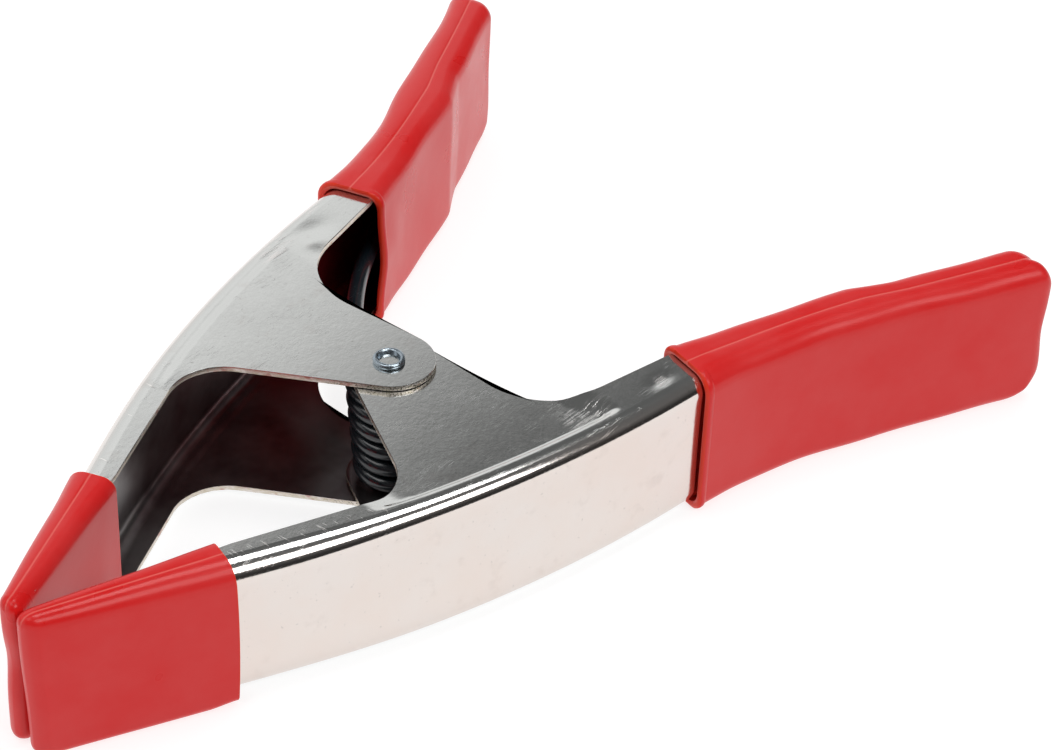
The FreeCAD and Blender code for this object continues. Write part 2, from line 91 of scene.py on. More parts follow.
class ClampSizes(bpy.types.PropertyGroup):
    """Sizes of the clamp's pieces."""

    gauge: metres("Sheet", "Thickness of the arms' steel", 0.0012)
    channel_half: metres("Half Channel", "Half the height of the channel", 0.0164)
    bend_radius: metres("Bend", "Outer radius of the channel's bends", 0.0038)
    outer_joggle: metres("Outer Joggle", "Outward set of the outer arm's ears", 0.0002)
    inner_joggle: metres("Inner Joggle", "Inward set of the inner arm's ears", 0.00115)
    vinyl_half: metres("Half Cover", "Half the height of the vinyl covers", 0.018)
    vinyl_wall: metres("Vinyl Wall", "Thickness of the vinyl", 0.00135)
    vinyl_edge: metres("Vinyl Edge", "Radius of the vinyl's long edges", 0.0046)
    rim_height: metres("Rim", "How far the rolled rim of a sleeve stands out", 0.0005)
    rivet_head: metres("Rivet Head", "Radius of the rivet's rolled head", 0.00338)
    wire_radius: metres("Wire", "Radius of the spring's wire", 0.0019)
    coil_radius: metres("Coil", "Radius of the spring's coil at the wire's centre", 0.0065)
    coil_turns: IntProperty(name="Turns", description="Full turns of the coil", default=5, min=2, max=12)


class ClampColours(bpy.types.PropertyGroup):
    """Colours of the clamp's finishes."""

    steel: tint("Plated Steel", "Bright nickel plate", (0.74, 0.68, 0.645))
    sheared: tint("Sheared Edge", "Raw edge of the sheet", (0.62, 0.56, 0.44))
    # painted shade: this dark grey on the channel's inner face stands in for the shade and dark reflections
    # inside the channel
    inside: tint("Inside", "Dull inner face of the channel", (0.30, 0.285, 0.285))
    vinyl: tint("Vinyl", "Dipped vinyl", (0.66, 0.012, 0.012))
    wire: tint("Wire", "Black lacquered spring wire", (0.006, 0.011, 0.015))
    zinc: tint("Zinc", "Zinc plate of the rivet", (0.38, 0.44, 0.49))
    floor: tint("Floor", "Floor the clamp lies on", (0.9, 0.9, 0.9))


def mm(value):
    """A size in millimetres."""
    return value * 1000


def colour(value):
    """A colour with its alpha."""
    return (*value, 1.0)


# ---------------------------------------------------------------- plan lines


def unit(degrees):
    """Unit vector in plan."""
    return np.array([math.cos(math.radians(degrees)), math.sin(math.radians(degrees))])


def left(vectors):
    """The same vectors turned a quarter turn to the left."""
    return np.stack([-vectors[..., 1], vectors[..., 0]], -1)


class WebLine:
    """The web's outer line: straight jaw, long bow, short kick, nearly straight grip."""

    start = np.array([-104.2, 4.62])
    runs = ((44.5, 0.0), (104.87, -1 / 305), (39.11, 1 / 133), (66.0, 1 / 745))
    first = 26.0

    def __init__(self, step=0.25):
        total = sum(run for run, _ in self.runs)
        self.s = np.linspace(0, total, int(total / step) + 1)
        bend = np.zeros_like(self.s)
        done = 0.0
        for run, curvature in self.runs:
            bend[self.s >= done] = curvature
            done += run
        gap = self.s[1] - self.s[0]
        turned = np.concatenate([[0], np.cumsum(bend[:-1] * gap)])
        heading = math.radians(self.first) + turned
        middle = (heading[1:] + heading[:-1]) / 2
        steps = np.stack([np.cos(middle), np.sin(middle)], -1) * gap
        self.points = np.concatenate([[self.start], self.start + np.cumsum(steps, 0)])
        self.heading = heading

    def at(self, s, inset=0.0):
        """Points at these lengths along the line, moved inward."""
        x = np.interp(s, self.s, self.points[:, 0])
        y = np.interp(s, self.s, self.points[:, 1])
        angle = np.interp(s, self.s, self.heading)
        normal = np.stack([np.sin(angle), -np.cos(angle)], -1)
        return np.stack([x, y], -1) + normal * np.asarray(inset)[..., None]

    def along(self, x):
        """Length along the line at x."""
        return np.interp(x, self.points[:, 0], self.s)

    def inset(self, xy):
        """Distance of points inside the line."""
        s = self.along(xy[..., 0])
        for _ in range(3):
            here = self.at(s)
            angle = np.interp(s, self.s, self.heading)
            tangent = np.stack([np.cos(angle), np.sin(angle)], -1)
            s = s + ((xy - here) * tangent).sum(-1)
        here = self.at(s)
        angle = np.interp(s, self.s, self.heading)
        normal = np.stack([np.sin(angle), -np.cos(angle)], -1)
        return ((xy - here) * normal).sum(-1)


WEB = WebLine()


def rounded(before, corner, after, radius, count=12):
    """Points of the arc that rounds a corner."""
    back = (before - corner) / np.linalg.norm(before - corner)
    ahead = (after - corner) / np.linalg.norm(after - corner)
    half = math.acos(float(back @ ahead)) / 2
    run = radius / math.tan(half)
    middle = (back + ahead) / np.linalg.norm(back + ahead)
    centre = corner + middle * radius / math.sin(half)
    a, b = corner + back * run - centre, corner + ahead * run - centre
    start = math.atan2(a[1], a[0])
    swing = math.atan2(a[0] * b[1] - a[1] * b[0], float(a @ b))
    angles = start + np.linspace(0, swing, count)
    return centre + radius * np.stack([np.cos(angles), np.sin(angles)], -1)


def free_edge():
    """Free edge of a cheek from the jaw's tip round the ear to the grip's end, with its marks."""
    tip = np.array([-103.4, 2.0])
    front = np.array([-28.1, 30.6])
    rear = np.array([8.0, 34.9])
    mouth = np.array([41.5, 42.0])
    ear = np.array([0.7, 0.0])
    reach = 9.4

    def touch(corner, turn):
        gap = corner - ear
        angle = math.degrees(math.atan2(gap[1], gap[0]))
        swing = math.degrees(math.acos(reach / np.linalg.norm(gap)))
        return angle + turn * swing

    a, b = touch(front, 1), touch(rear, -1)
    front_touch, rear_touch = ear + unit(a) * reach, ear + unit(b) * reach
    front_arc = rounded(tip, front, front_touch, 12.0, 16)
    rear_arc = rounded(rear_touch, rear, mouth, 18.0, 20)
    sweep = np.radians(np.linspace(a, b + 360, 60))
    arc = ear + reach * np.stack([np.cos(sweep), np.sin(sweep)], -1)
    tail = np.array([[41.5, 42.0], [84.6, 57.0], [93.5, 62.4], [118.6, 74.6]])
    knee = np.array([[-64.0, 15.6]])
    points = np.concatenate([[tip], knee, front_arc, arc, rear_arc, tail])
    steps = np.linalg.norm(np.diff(points, axis=0), axis=1)
    length = np.concatenate([[0], np.cumsum(steps)])
    marks = {
        "tip": 0.0,
        "front_in": length[2],
        "front_out": length[17],
        "ear_in": length[18],
        "ear_bottom": length[18] + reach * math.radians(270 - a),
        "ear_out": length[77],
        "rear_in": length[78],
        "rear_out": length[97],
        "mouth": length[98],
        "end": length[-1],
    }
    return points, length, marks


def stations(breaks):
    """Lengths along the web with a step of their own between breaks: [(x, step after it), ...]."""
    out = []
    for (x0, step), (x1, _) in zip(breaks, breaks[1:]):
        a, b = WEB.along(x0), WEB.along(x1)
        out.append(np.linspace(a, b, max(2, int(round((b - a) / step))), endpoint=False))
    out.append([WEB.along(breaks[-1][0])])
    return np.concatenate(out)


# ---------------------------------------------------------------- mesh building


def to_frame(points):
    """Pivot millimetres to frame metres."""
    return (np.asarray(points, float) + np.array([PIVOT_X, 0, MID_Z])) * 0.001


def make_mesh(name, points, faces, body, nodes, smooth=45, marks=None):
    """Object from points in pivot millimetres, riding on a body. marks are values per point."""
    mesh = bpy.data.meshes.new(name)
    mesh.from_pydata([tuple(p) for p in to_frame(points)], [], [tuple(f) for f in faces])
    mesh.validate()
    values = {"place": points, **(marks or {})}
    for key, rows in values.items():
        layer = mesh.attributes.new(key, "FLOAT_VECTOR", "POINT")
        layer.data.foreach_set("vector", np.asarray(rows, np.float32).ravel())
    edit = bmesh.new()
    edit.from_mesh(mesh)
    bmesh.ops.recalc_face_normals(edit, faces=edit.faces)
    limit = math.radians(smooth)
    for face in edit.faces:
        face.smooth = True
    for edge in edit.edges:
        edge.smooth = not (edge.is_manifold and edge.calc_face_angle(0.0) > limit)
    edit.to_mesh(mesh)
    edit.free()
    piece = bpy.data.objects.new(name, mesh)
    bpy.context.scene.collection.objects.link(piece)
    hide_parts(*nodes)
    if body:
        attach(piece, body)
    return piece


def grid_faces(rows, columns, first=0, wrap=False, flip=False):
    """Quads of a rows by columns grid of points numbered row by row."""
    quads = []
    for i in range(rows - 1):
        for j in range(columns if wrap else columns - 1):
            k = (j + 1) % columns
            a, b = first + i * columns + j, first + i * columns + k
            c, d = first + (i + 1) * columns + k, first + (i + 1) * columns + j
            quads.append((a, d, c, b) if flip else (a, b, c, d))
    return quads


def smoothstep(x, low, high):
    """0 below low, 1 above high, smooth between."""
    f = np.clip((np.asarray(x, float) - low) / (high - low), 0, 1)
    return f * f * (3 - 2 * f)


def hill(x, centre, width):
    """Smooth hill of height 1 around a centre."""
    return np.exp(-(((np.asarray(x, float) - centre) / width) ** 2))


# ---------------------------------------------------------------- arms


def cheek_rows(depth):
    """Distances from the bend's start to the free edge, dense at the crease."""
    near = np.array([0, 0.4, 0.8, 1.15, 1.5, 1.8, 2.1, 2.4, 2.7, 3.0, 3.4, 3.9, 4.5, 5.2])
    share = np.minimum(1.0, (depth - 0.5) / 7.0)[:, None]
    rest = np.linspace(0, 1, 26)[1:]
    first = near[None, :] * share
    left_over = depth[:, None] - 0.12 - first[:, -1:]
    return np.concatenate([first, first[:, -1:] + left_over * rest[None, :]], 1)


def ear_shift(xy, joggle):
    """Outward shift of a cheek by the joggle at points in plan (y positive)."""
    inside = smoothstep(WEB.inset(xy) - 5.0, -0.3, 1.5)
    rear = smoothstep(20.0 - xy[..., 0] + 0.1 * (xy[..., 1] - 40), 0, 5.5)
    front = smoothstep(xy[..., 0] + 38.5, 0, 8.0)
    return joggle * inside * rear * front


def pressed_marks(xy, side):
    """Small dents and bumps that the press left on a cheek, in plan (y positive)."""
    x, y = xy[..., 0], xy[..., 1]
    if side > 0:
        dent = -0.1 * hill(x, 24.5, 4.6) * hill(y, 44.0, 3.2)
        return dent + 0.12 * hill(x, 20.5, 2.6) * hill(y, 41.0, 2.6)
    return 0.05 * hill(x, 8.1, 0.9) * hill(y, 47.6, 0.9) - 0.15 * hill(x, 33, 3.0) * hill(y, 46, 1.6)


def build_arm(name, side, body, nodes, sizes):
    """One pressed arm as a sheet with an outer and an inner skin."""
    bend, gauge, half = mm(sizes.bend_radius), mm(sizes.gauge), mm(sizes.channel_half)
    joggle = mm(sizes.outer_joggle) if side > 0 else -mm(sizes.inner_joggle)
    s = stations(
        [(-100.5, 1.1), (-66, 0.8), (-40, 0.4), (-33, 0.6), (4, 0.45), (24, 0.6), (45, 1.3), (115, 0)]
    )
    outline, length, marks = free_edge()
    pairs = [
        (-104.2, "tip"),
        (-33.0, "front_in"),
        (-27.0, "front_out"),
        (-10.5, "ear_in"),
        (-0.5, "ear_bottom"),
        (8.5, "ear_out"),
        (13.0, "rear_in"),
        (21.0, "rear_out"),
        (43.8, "mouth"),
        (117.2, "end"),
    ]
    t = np.interp(s, [WEB.along(x) for x, _ in pairs], [marks[key] for _, key in pairs])
    edge = np.stack([np.interp(t, length, outline[:, 0]), np.interp(t, length, outline[:, 1])], -1)
    # the bends open out a little towards the jaw
    bend = bend + 0.9 * smoothstep(-np.interp(s, WEB.s, WEB.points[:, 0]), 28, 62)
    root = WEB.at(s, bend)
    ray = edge - root
    depth = np.linalg.norm(ray, axis=1)
    ray = ray / depth[:, None]
    rows = cheek_rows(depth)
    cheek = root[:, None, :] + ray[:, None, :] * rows[:, :, None]
    shift = ear_shift(cheek, joggle) + pressed_marks(cheek, side)
    edge_shift = ear_shift(edge, joggle) + pressed_marks(edge, side)
    bends = np.linspace(0, math.pi / 2, 13)[1:-1]
    levels = np.linspace(1, -1, 17)

    def skin(radius, height, lip):
        """Section points from the upper free edge, round the web, to the lower free edge."""
        upper = [np.concatenate([edge, (height - lip + edge_shift)[:, None]], 1)]
        for k in range(cheek.shape[1] - 1, -1, -1):
            upper.append(np.concatenate([cheek[:, k], (height + shift[:, k])[:, None]], 1))
        for angle in bends:
            xy = WEB.at(s, bend - radius * math.sin(angle))
            z = half - bend + radius * math.cos(angle)
            upper.append(np.concatenate([xy, z[:, None]], 1))
        face = []
        for level in levels:
            # the web is very slightly hollow between its bends
            xy = WEB.at(s, bend - radius + 0.07 * (1 - level**2))
            face.append(np.concatenate([xy, (level * (half - bend))[:, None]], 1))
        lower = [row * np.array([1, 1, -1]) for row in upper[::-1]]
        return np.stack(upper + face + lower, 1)

    outer = skin(bend, half, 0.14)
    inner = skin(bend - gauge, half - gauge, -0.05)
    count, width = outer.shape[:2]
    points = np.concatenate([outer.reshape(-1, 3), inner.reshape(-1, 3)])
    faces = grid_faces(count, width) + grid_faces(count, width, count * width, flip=True)
    base = count * width
    for i in range(count - 1):
        for j in (0, width - 1):
            a, b = i * width + j, (i + 1) * width + j
            faces.append((a, b, base + b, base + a))
    for j in range(width - 1):
        for i in (0, count - 1):
            a, b = i * width + j, i * width + j + 1
            faces.append((a, b, base + b, base + a))
    inset = WEB.inset(points[:, :2])
    points[:, 1] *= side
    # sheet: distance inside the web, 1 on the sheared edges, 1 on the inner skin
    sheared = np.zeros((count, width))
    sheared[:, 0] = sheared[:, -1] = 1
    within = np.repeat([0.0, 1.0], base)
    sheet = np.stack([inset, np.tile(sheared.ravel(), 2), within], -1)
    return make_mesh(name, points, faces, body, nodes, 40, {"sheet": sheet})


# ---------------------------------------------------------------- vinyl


def half_section(a, b, low, high, corner=10, face=25):
    """Half of a rounded rectangle, from bottom middle round the +p side to top middle.

    low and high are the radii of its lower and upper corner.
    """
    lead = np.array([0, 0.05, 0.1, 0.17, 0.3, 0.5, 0.75])
    p, q = list((a - low) * lead), [-b] * len(lead)
    angles = np.linspace(-math.pi / 2, 0, corner)[:-1]
    p += list(a - low + low * np.cos(angles))
    q += list(-b + low + low * np.sin(angles))
    p += [a] * face
    q += list(np.linspace(-b + low, b - high, face))
    angles = np.linspace(0, math.pi / 2, corner)[1:]
    p += list(a - high + high * np.cos(angles))
    q += list(b - high + high * np.sin(angles))
    p += list((a - high) * lead[::-1])
    q += [b] * len(lead)
    return np.array(p), np.array(q)


def dipped_cover(name, side, body, nodes, line, wall, depth, shape):
    """Dipped vinyl cover, open at its mouth and closed at its far end.

    line gives the inner and outer plan point and the closing at each station, the half-height and
    the radii of the lower, the outer upper and the inner upper edge. shape moves the finished
    points, given their station, place across and height.
    """
    inner_line, outer_line, closing, half, radii = line
    count = len(inner_line)
    rings, tags = [], []
    for i in range(count):
        gap = outer_line[i] - inner_line[i]
        a = np.linalg.norm(gap) / 2 - closing[i]
        b = half - closing[i]
        # a corner never takes up the whole half width
        low, outer_top, inner_top = (min(radius, a * 0.96) for radius in radii)
        p, q = half_section(a, b, low, outer_top)
        inner_p, inner_q = half_section(a, b, low, inner_top)
        p = np.concatenate([p, -inner_p[-2:0:-1]])
        q = np.concatenate([q, inner_q[-2:0:-1]])
        across = gap / np.linalg.norm(gap)
        middle = (inner_line[i] + outer_line[i]) / 2
        rings.append(np.stack([middle[0] + across[0] * p, middle[1] + across[1] * p, q], -1))
        tags.append(np.stack([np.full(len(p), float(i)), p, q], -1))
    rings, tags = np.array(rings), np.array(tags)
    columns = rings.shape[1]
    rings = shape(rings, tags)
    # inside skin near the mouth
    centre = rings.mean(axis=1, keepdims=True)
    inside = []
    for i in range(depth):
        gap = outer_line[i] - inner_line[i]
        across = gap / np.linalg.norm(gap)
        ring = rings[i].copy()
        side_part = (ring[:, :2] - centre[i, :, :2]) @ across
        a = np.abs(side_part).max()
        b = np.abs(ring[:, 2]).max()
        ring[:, :2] -= across * (side_part * wall / a)[:, None]
        ring[:, 2] -= ring[:, 2] * wall / b
        inside.append(ring)
    inside = np.array(inside)
    lip = (rings[0] + inside[0]) / 2
    forward = (rings[0, :, :2] - rings[1, :, :2]).mean(0)
    lip[:, :2] += forward / np.linalg.norm(forward) * 0.35
    points = np.concatenate([rings.reshape(-1, 3), inside.reshape(-1, 3), lip])
    base, rim = count * columns, (count + depth) * columns
    faces = grid_faces(count, columns, 0, True)
    faces += grid_faces(depth, columns, base, True, True)
    for j in range(columns):
        k = (j + 1) % columns
        faces.append((j, rim + j, rim + k, k))
        faces.append((rim + j, base + j, base + k, rim + k))
    # far end: strips from the outer half to the mirrored point of the inner half
    last = (count - 1) * columns
    top = columns // 2
    strips = 5
    start = len(points)
    extra = []
    for j in range(1, top):
        a, b = points[last + j], points[last + columns - j]
        extra += [a + (b - a) * m / strips for m in range(1, strips)]
    points = np.concatenate([points, np.array(extra)])

    def cell(j, m):
        """Index of strip point m of row j."""
        if j in (0, top) or m == 0:
            return last + j
        if m == strips:
            return last + columns - j
        return start + (j - 1) * (strips - 1) + m - 1

    for j in range(top):
        for m in range(strips):
            corners = [cell(j, m), cell(j + 1, m), cell(j + 1, m + 1), cell(j, m + 1)]
            corners = list(dict.fromkeys(corners))
            if len(corners) > 2:
                faces.append(corners)
    # cover: station, place across, 1 on the rolled lip
    cover = np.zeros((len(points), 3))
    cover[:base, :2] = tags.reshape(-1, 3)[:, :2]
    cover[:columns, 2] = 1
    cover[base:rim, 2] = 0.6
    cover[rim : rim + columns, 2] = 1
    points[:, 1] *= side
    return make_mesh(name, points, faces, body, nodes, 60, {"cover": cover})


def drawn_in(place, reach, radius):
    """How far a cover's closed end has drawn in at each place along it."""
    u = np.clip(1 - (reach - place) / radius, 0, 1)
    return radius * (1 - np.sqrt(np.maximum(0.0, 1 - u**2))) * END_ROUNDING


def slide(rings, way, amount):
    """Moves ring points in plan. way is one direction, or one for each ring."""
    rings[..., :2] += way.reshape(-1, 1, 2) * amount[..., None]


def seam(rings, tags, start, depth=0.07):
    """Fine mould line along the middle of the top, from a station on."""
    p, q = tags[..., 1], tags[..., 2]
    fade = smoothstep(tags[..., 0], start, start + 3)
    rings[..., 2] -= depth * hill(p, 0, 0.4) * smoothstep(q, 12, 16) * fade


def build_cap(name, side, body, nodes, sizes):
    """Vinyl cap over one jaw."""
    half, radius = mm(sizes.vinyl_half), mm(sizes.vinyl_edge)
    tip_x = -106.9 if side < 0 else -106.1
    rear_out, tip_out = np.array([-70.1, 23.2]), np.array([tip_x, 5.0])
    rear_in, bite = np.array([-66.4, 12.85]), np.array([-103.4, 0.05])
    runs = [np.linspace(0, 0.04, 5)[:-1], np.linspace(0.04, 0.92, 46)[:-1], np.linspace(0.92, 1, 13)]
    f = np.concatenate(runs)
    outer = rear_out + (tip_out - rear_out) * f[:, None]
    inner_x = rear_in[0] + (tip_x - rear_in[0]) * f
    slope = (bite[1] - rear_in[1]) / (bite[0] - rear_in[0])
    inner = np.stack([inner_x, np.maximum(0.05, rear_in[1] + slope * (inner_x - rear_in[0]))], -1)
    reach = np.linalg.norm(tip_out - rear_out)
    place = reach * f
    closing = drawn_in(place, reach, 2.4)
    forward = (tip_out - rear_out) / reach

    def shape(rings, tags):
        """Bowed rear edge, pinched tip, seam and the slight waves of a dipped skin."""
        run = place[:, None] + 0 * tags[..., 0]
        p, q = tags[..., 1], tags[..., 2]
        mouth = 1 - smoothstep(run, 0, 6)
        tip = smoothstep(run, reach - 9, reach)
        bow = 0.45 * (1 - (q / half) ** 2) * mouth
        waist = (1.5 if side > 0 else 0.0) * hill(q, 1, 6.0) * tip
        low = (0.2 if side > 0 else 0.8) * smoothstep(-q, -14, 14) * tip
        cleft = (0.45 if side > 0 else 0.12) * hill(p, 0, 1.1) * tip * smoothstep(q, 2, 14)
        along = -bow - waist - low - cleft
        slide(rings, forward, along)
        rings[..., 2] += 0.6 * mouth * smoothstep(-q, 8, 17)
        swell = 0.16 * np.sin(run / 6.1 + 0.8 * side) * np.cos(q / 9.0 + 0.6)
        swell = swell * smoothstep(run, 2, 8) * (1 - tip)
        across = (outer - inner) / np.linalg.norm(outer - inner, axis=1)[:, None]
        width = np.abs(p).max(axis=1, keepdims=True)
        inward = np.clip(p / width, -1, 1) * (swell - 0.18)
        # the wall that faces the other jaw is a little hollow, so that the tips meet first
        inward += 0.35 * hill(run, reach * 0.5, 11) * hill(q, 0, 12) * smoothstep(-p / width, 0.3, 0.9)
        slide(rings, across, inward)
        seam(rings, tags, 4)
        return rings

    line = (inner, outer, closing, half, (2.3, radius, radius * 0.65))
    return dipped_cover(name, side, body, nodes, line, mm(sizes.vinyl_wall), 12, shape)


def build_sleeve(name, side, body, nodes, sizes):
    """Vinyl sleeve over one grip with a rolled rim at its mouth."""
    half, radius = mm(sizes.vinyl_half), mm(sizes.vinyl_edge)
    rim_height = mm(sizes.rim_height)
    s0, s1 = WEB.along(38.4), WEB.along(123.5)
    runs = [np.linspace(0, 0.03, 12)[:-1], np.linspace(0.03, 0.93, 110)[:-1], np.linspace(0.93, 1, 18)]
    f = np.concatenate(runs)
    outer = WEB.at(s0 + (s1 - s0) * f, -1.5)
    knots = np.array([[42.5, 39.9], [84.9, 55.4], [93.9, 61.2], [123.8, 75.2]])
    lengths = np.concatenate([[0], np.cumsum(np.linalg.norm(np.diff(knots, axis=0), axis=1))])
    reach = lengths[-1]
    place = f * reach
    inner = np.stack([np.interp(place, lengths, knots[:, i]) for i in range(2)], -1)
    # the thumb step is a little soft at both of its corners
    padded = np.concatenate([inner[:1], inner, inner[-1:]])
    soft = (padded[:-2] + padded[1:-1] + padded[2:]) / 3
    inner[12:-14] = soft[12:-14]
    closing = drawn_in(place, reach, 4.0)
    forward = outer[-1] - outer[-4]
    forward = forward / np.linalg.norm(forward)

    def shape(rings, tags):
        """Rolled rim, pinched end with two lobes, seam and the slight waves of a dipped skin."""
        run = place[:, None] + 0 * tags[..., 0]
        p, q = tags[..., 1], tags[..., 2]
        width = np.abs(p).max(axis=1, keepdims=True)
        sign = np.clip(p / width * 1.3, -1, 1)
        across = (outer - inner) / np.linalg.norm(outer - inner, axis=1)[:, None]
        end = smoothstep(run, reach - 8, reach)
        bead = rim_height * np.sqrt(np.clip(1 - ((run - 0.8) / 0.85) ** 2, 0, 1))
        push = bead * sign
        swell = 0.22 * np.sin(run / 8.3 + 1.1 * side) * np.cos(q / 11.0 - 0.5)
        swell += 0.12 * np.sin(run / 3.7 + q / 5.0)
        push += (swell - 0.05) * sign * smoothstep(run, 3, 12) * (1 - end)
        # the outer arm's sleeve is a little thick along its middle
        if side > 0:
            push += 1.3 * hill(run, reach * 0.5, 20) * smoothstep(p / width, 0.2, 0.9)
        # the inner wall stands a little off the grip's open side
        push -= 1.0 * hill(q, 0, 8) * (1 - smoothstep(run, 0, 16)) * smoothstep(-p / width, 0.3, 0.9)
        slide(rings, across, push)
        waist = 0.7 * hill(q, 0.5, 6.0) * end
        low = 1.9 * smoothstep(-q, 9, 18) * smoothstep(run, reach - 9, reach)
        cleft = (0.15 if side > 0 else 0.55) * hill(p, 0, 1.2) * end * smoothstep(q, 8, 16)
        along = -waist - cleft - 2.4 * smoothstep(-q, 7, 18) ** 2 * end
        slide(rings, forward, along)
        rings[..., 2] += low
        waves = smoothstep(run, 4, 14) * smoothstep(q, 14, 17) * (0.5 + 0.5 * np.sin(run / 9))
        rings[..., 2] -= 0.25 * waves
        seam(rings, tags, 13)
        return rings

    line = (inner, outer, closing, half, (3.0, radius, radius * 0.75))
    return dipped_cover(name, side, body, nodes, line, mm(sizes.vinyl_wall), 26, shape)


# ---------------------------------------------------------------- rivet and spring


def build_rivet(name, body, nodes, sizes):
    """Rivet with rolled, recessed ends."""
    seat = mm(sizes.channel_half) + mm(sizes.outer_joggle)
    head = mm(sizes.rivet_head)
    profile = [(0.0, seat - 1.5), (1.4, seat - 1.15), (1.95, seat - 0.6), (2.2, seat + 0.5)]
    for angle in np.radians(np.linspace(180, 0, 11)):
        profile.append((head - 0.53 + 0.55 * math.cos(angle), seat + 0.6 + 0.5 * math.sin(angle)))
    profile += [(head, seat + 0.2), (head - 0.08, seat + 0.02), (3.2, seat), (2.75, seat), (2.75, seat - 3)]
    profile += [(r, -z) for r, z in profile[::-1]]
    around = np.radians(np.linspace(0, 360, RIVET_FACETS, endpoint=False))
    points = []
    for r, z in profile:
        # the die left the rolled edge slightly uneven
        for a in around:
            wave = 1 + 0.02 * math.sin(3 * a + 0.6) * (abs(z) > seat + 0.3)
            points.append((r * wave * math.cos(a), r * wave * math.sin(a), z))
    faces = grid_faces(len(profile), RIVET_FACETS, 0, True)
    return make_mesh(name, np.array(points), faces, body, nodes, 50)


def spring_line(sizes):
    """Centre line of the wire with each leg falling to mid-height at its end."""
    radius, top = mm(sizes.coil_radius), 11.5
    root, end_slope = 43.0, 28.5
    root_run, bow, end_run = 36, 90, 26
    start = math.radians(-(90 + root))
    turns = math.radians(360 * sizes.coil_turns + 2 * (90 - root))
    angle = start - np.linspace(0, turns, 420)
    share = np.linspace(-1, 1, 420)
    coil = np.stack([radius * np.cos(angle), radius * np.sin(angle), top * share], -1)

    def leg(side):
        """Leg from the coil outward."""
        line = np.linspace(0, root_run, 50)[1:]
        heading = unit(root)
        straight = left(heading) * radius + heading * line[:, None]
        centre = straight[-1] - left(heading) * bow
        bend = np.radians(np.linspace(root, end_slope, 20)[1:])
        arc = centre + bow * np.stack([-np.sin(bend), np.cos(bend)], -1)
        end = arc[-1] + unit(end_slope) * np.linspace(0, end_run, 30)[1:, None]
        plan = np.concatenate([straight, arc, end])
        run = np.concatenate([[0], np.cumsum(np.linalg.norm(np.diff(plan, axis=0), axis=1))])
        height = side * top * (1 - smoothstep(run, 0, 34) * 0.95)
        return np.concatenate([plan * np.array([1, side]), height[:, None]], 1)

    line = np.concatenate([leg(-1)[::-1], coil, leg(1)])
    # the load makes the coil lean: its lower end towards the inner arm's grip
    away = np.linalg.norm(line[:, :2], axis=1)
    lean = -line[:, 2] / top * (1 - smoothstep(away, 8, 34))
    line[:, 0] += 0.55 * lean
    line[:, 1] -= 0.75 * lean
    return line


def build_spring(name, nodes, sizes):
    """Round wire along the spring's line."""
    line = spring_line(sizes)
    wire = mm(sizes.wire_radius)
    tangent = np.gradient(line, axis=0)
    tangent /= np.linalg.norm(tangent, axis=1)[:, None]
    normal = np.cross(tangent[0], [0, 0, 1.0])
    around = np.radians(np.linspace(0, 360, WIRE_FACETS, endpoint=False))
    rings = []
    for here, along in zip(line, tangent):
        normal = normal - along * (normal @ along)
        normal /= np.linalg.norm(normal)
        other = np.cross(along, normal)
        rings.append([here + wire * (math.cos(a) * normal + math.sin(a) * other) for a in around])
    points = np.array(rings).reshape(-1, 3)
    faces = grid_faces(len(line), WIRE_FACETS, 0, True)
    faces.append(tuple(range(WIRE_FACETS)))
    faces.append(tuple(len(points) - WIRE_FACETS + i for i in range(WIRE_FACETS)))
    piece = make_mesh(name, points, faces, None, nodes, 50)
    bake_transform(piece)
    return piece


# ---------------------------------------------------------------- shader nodes


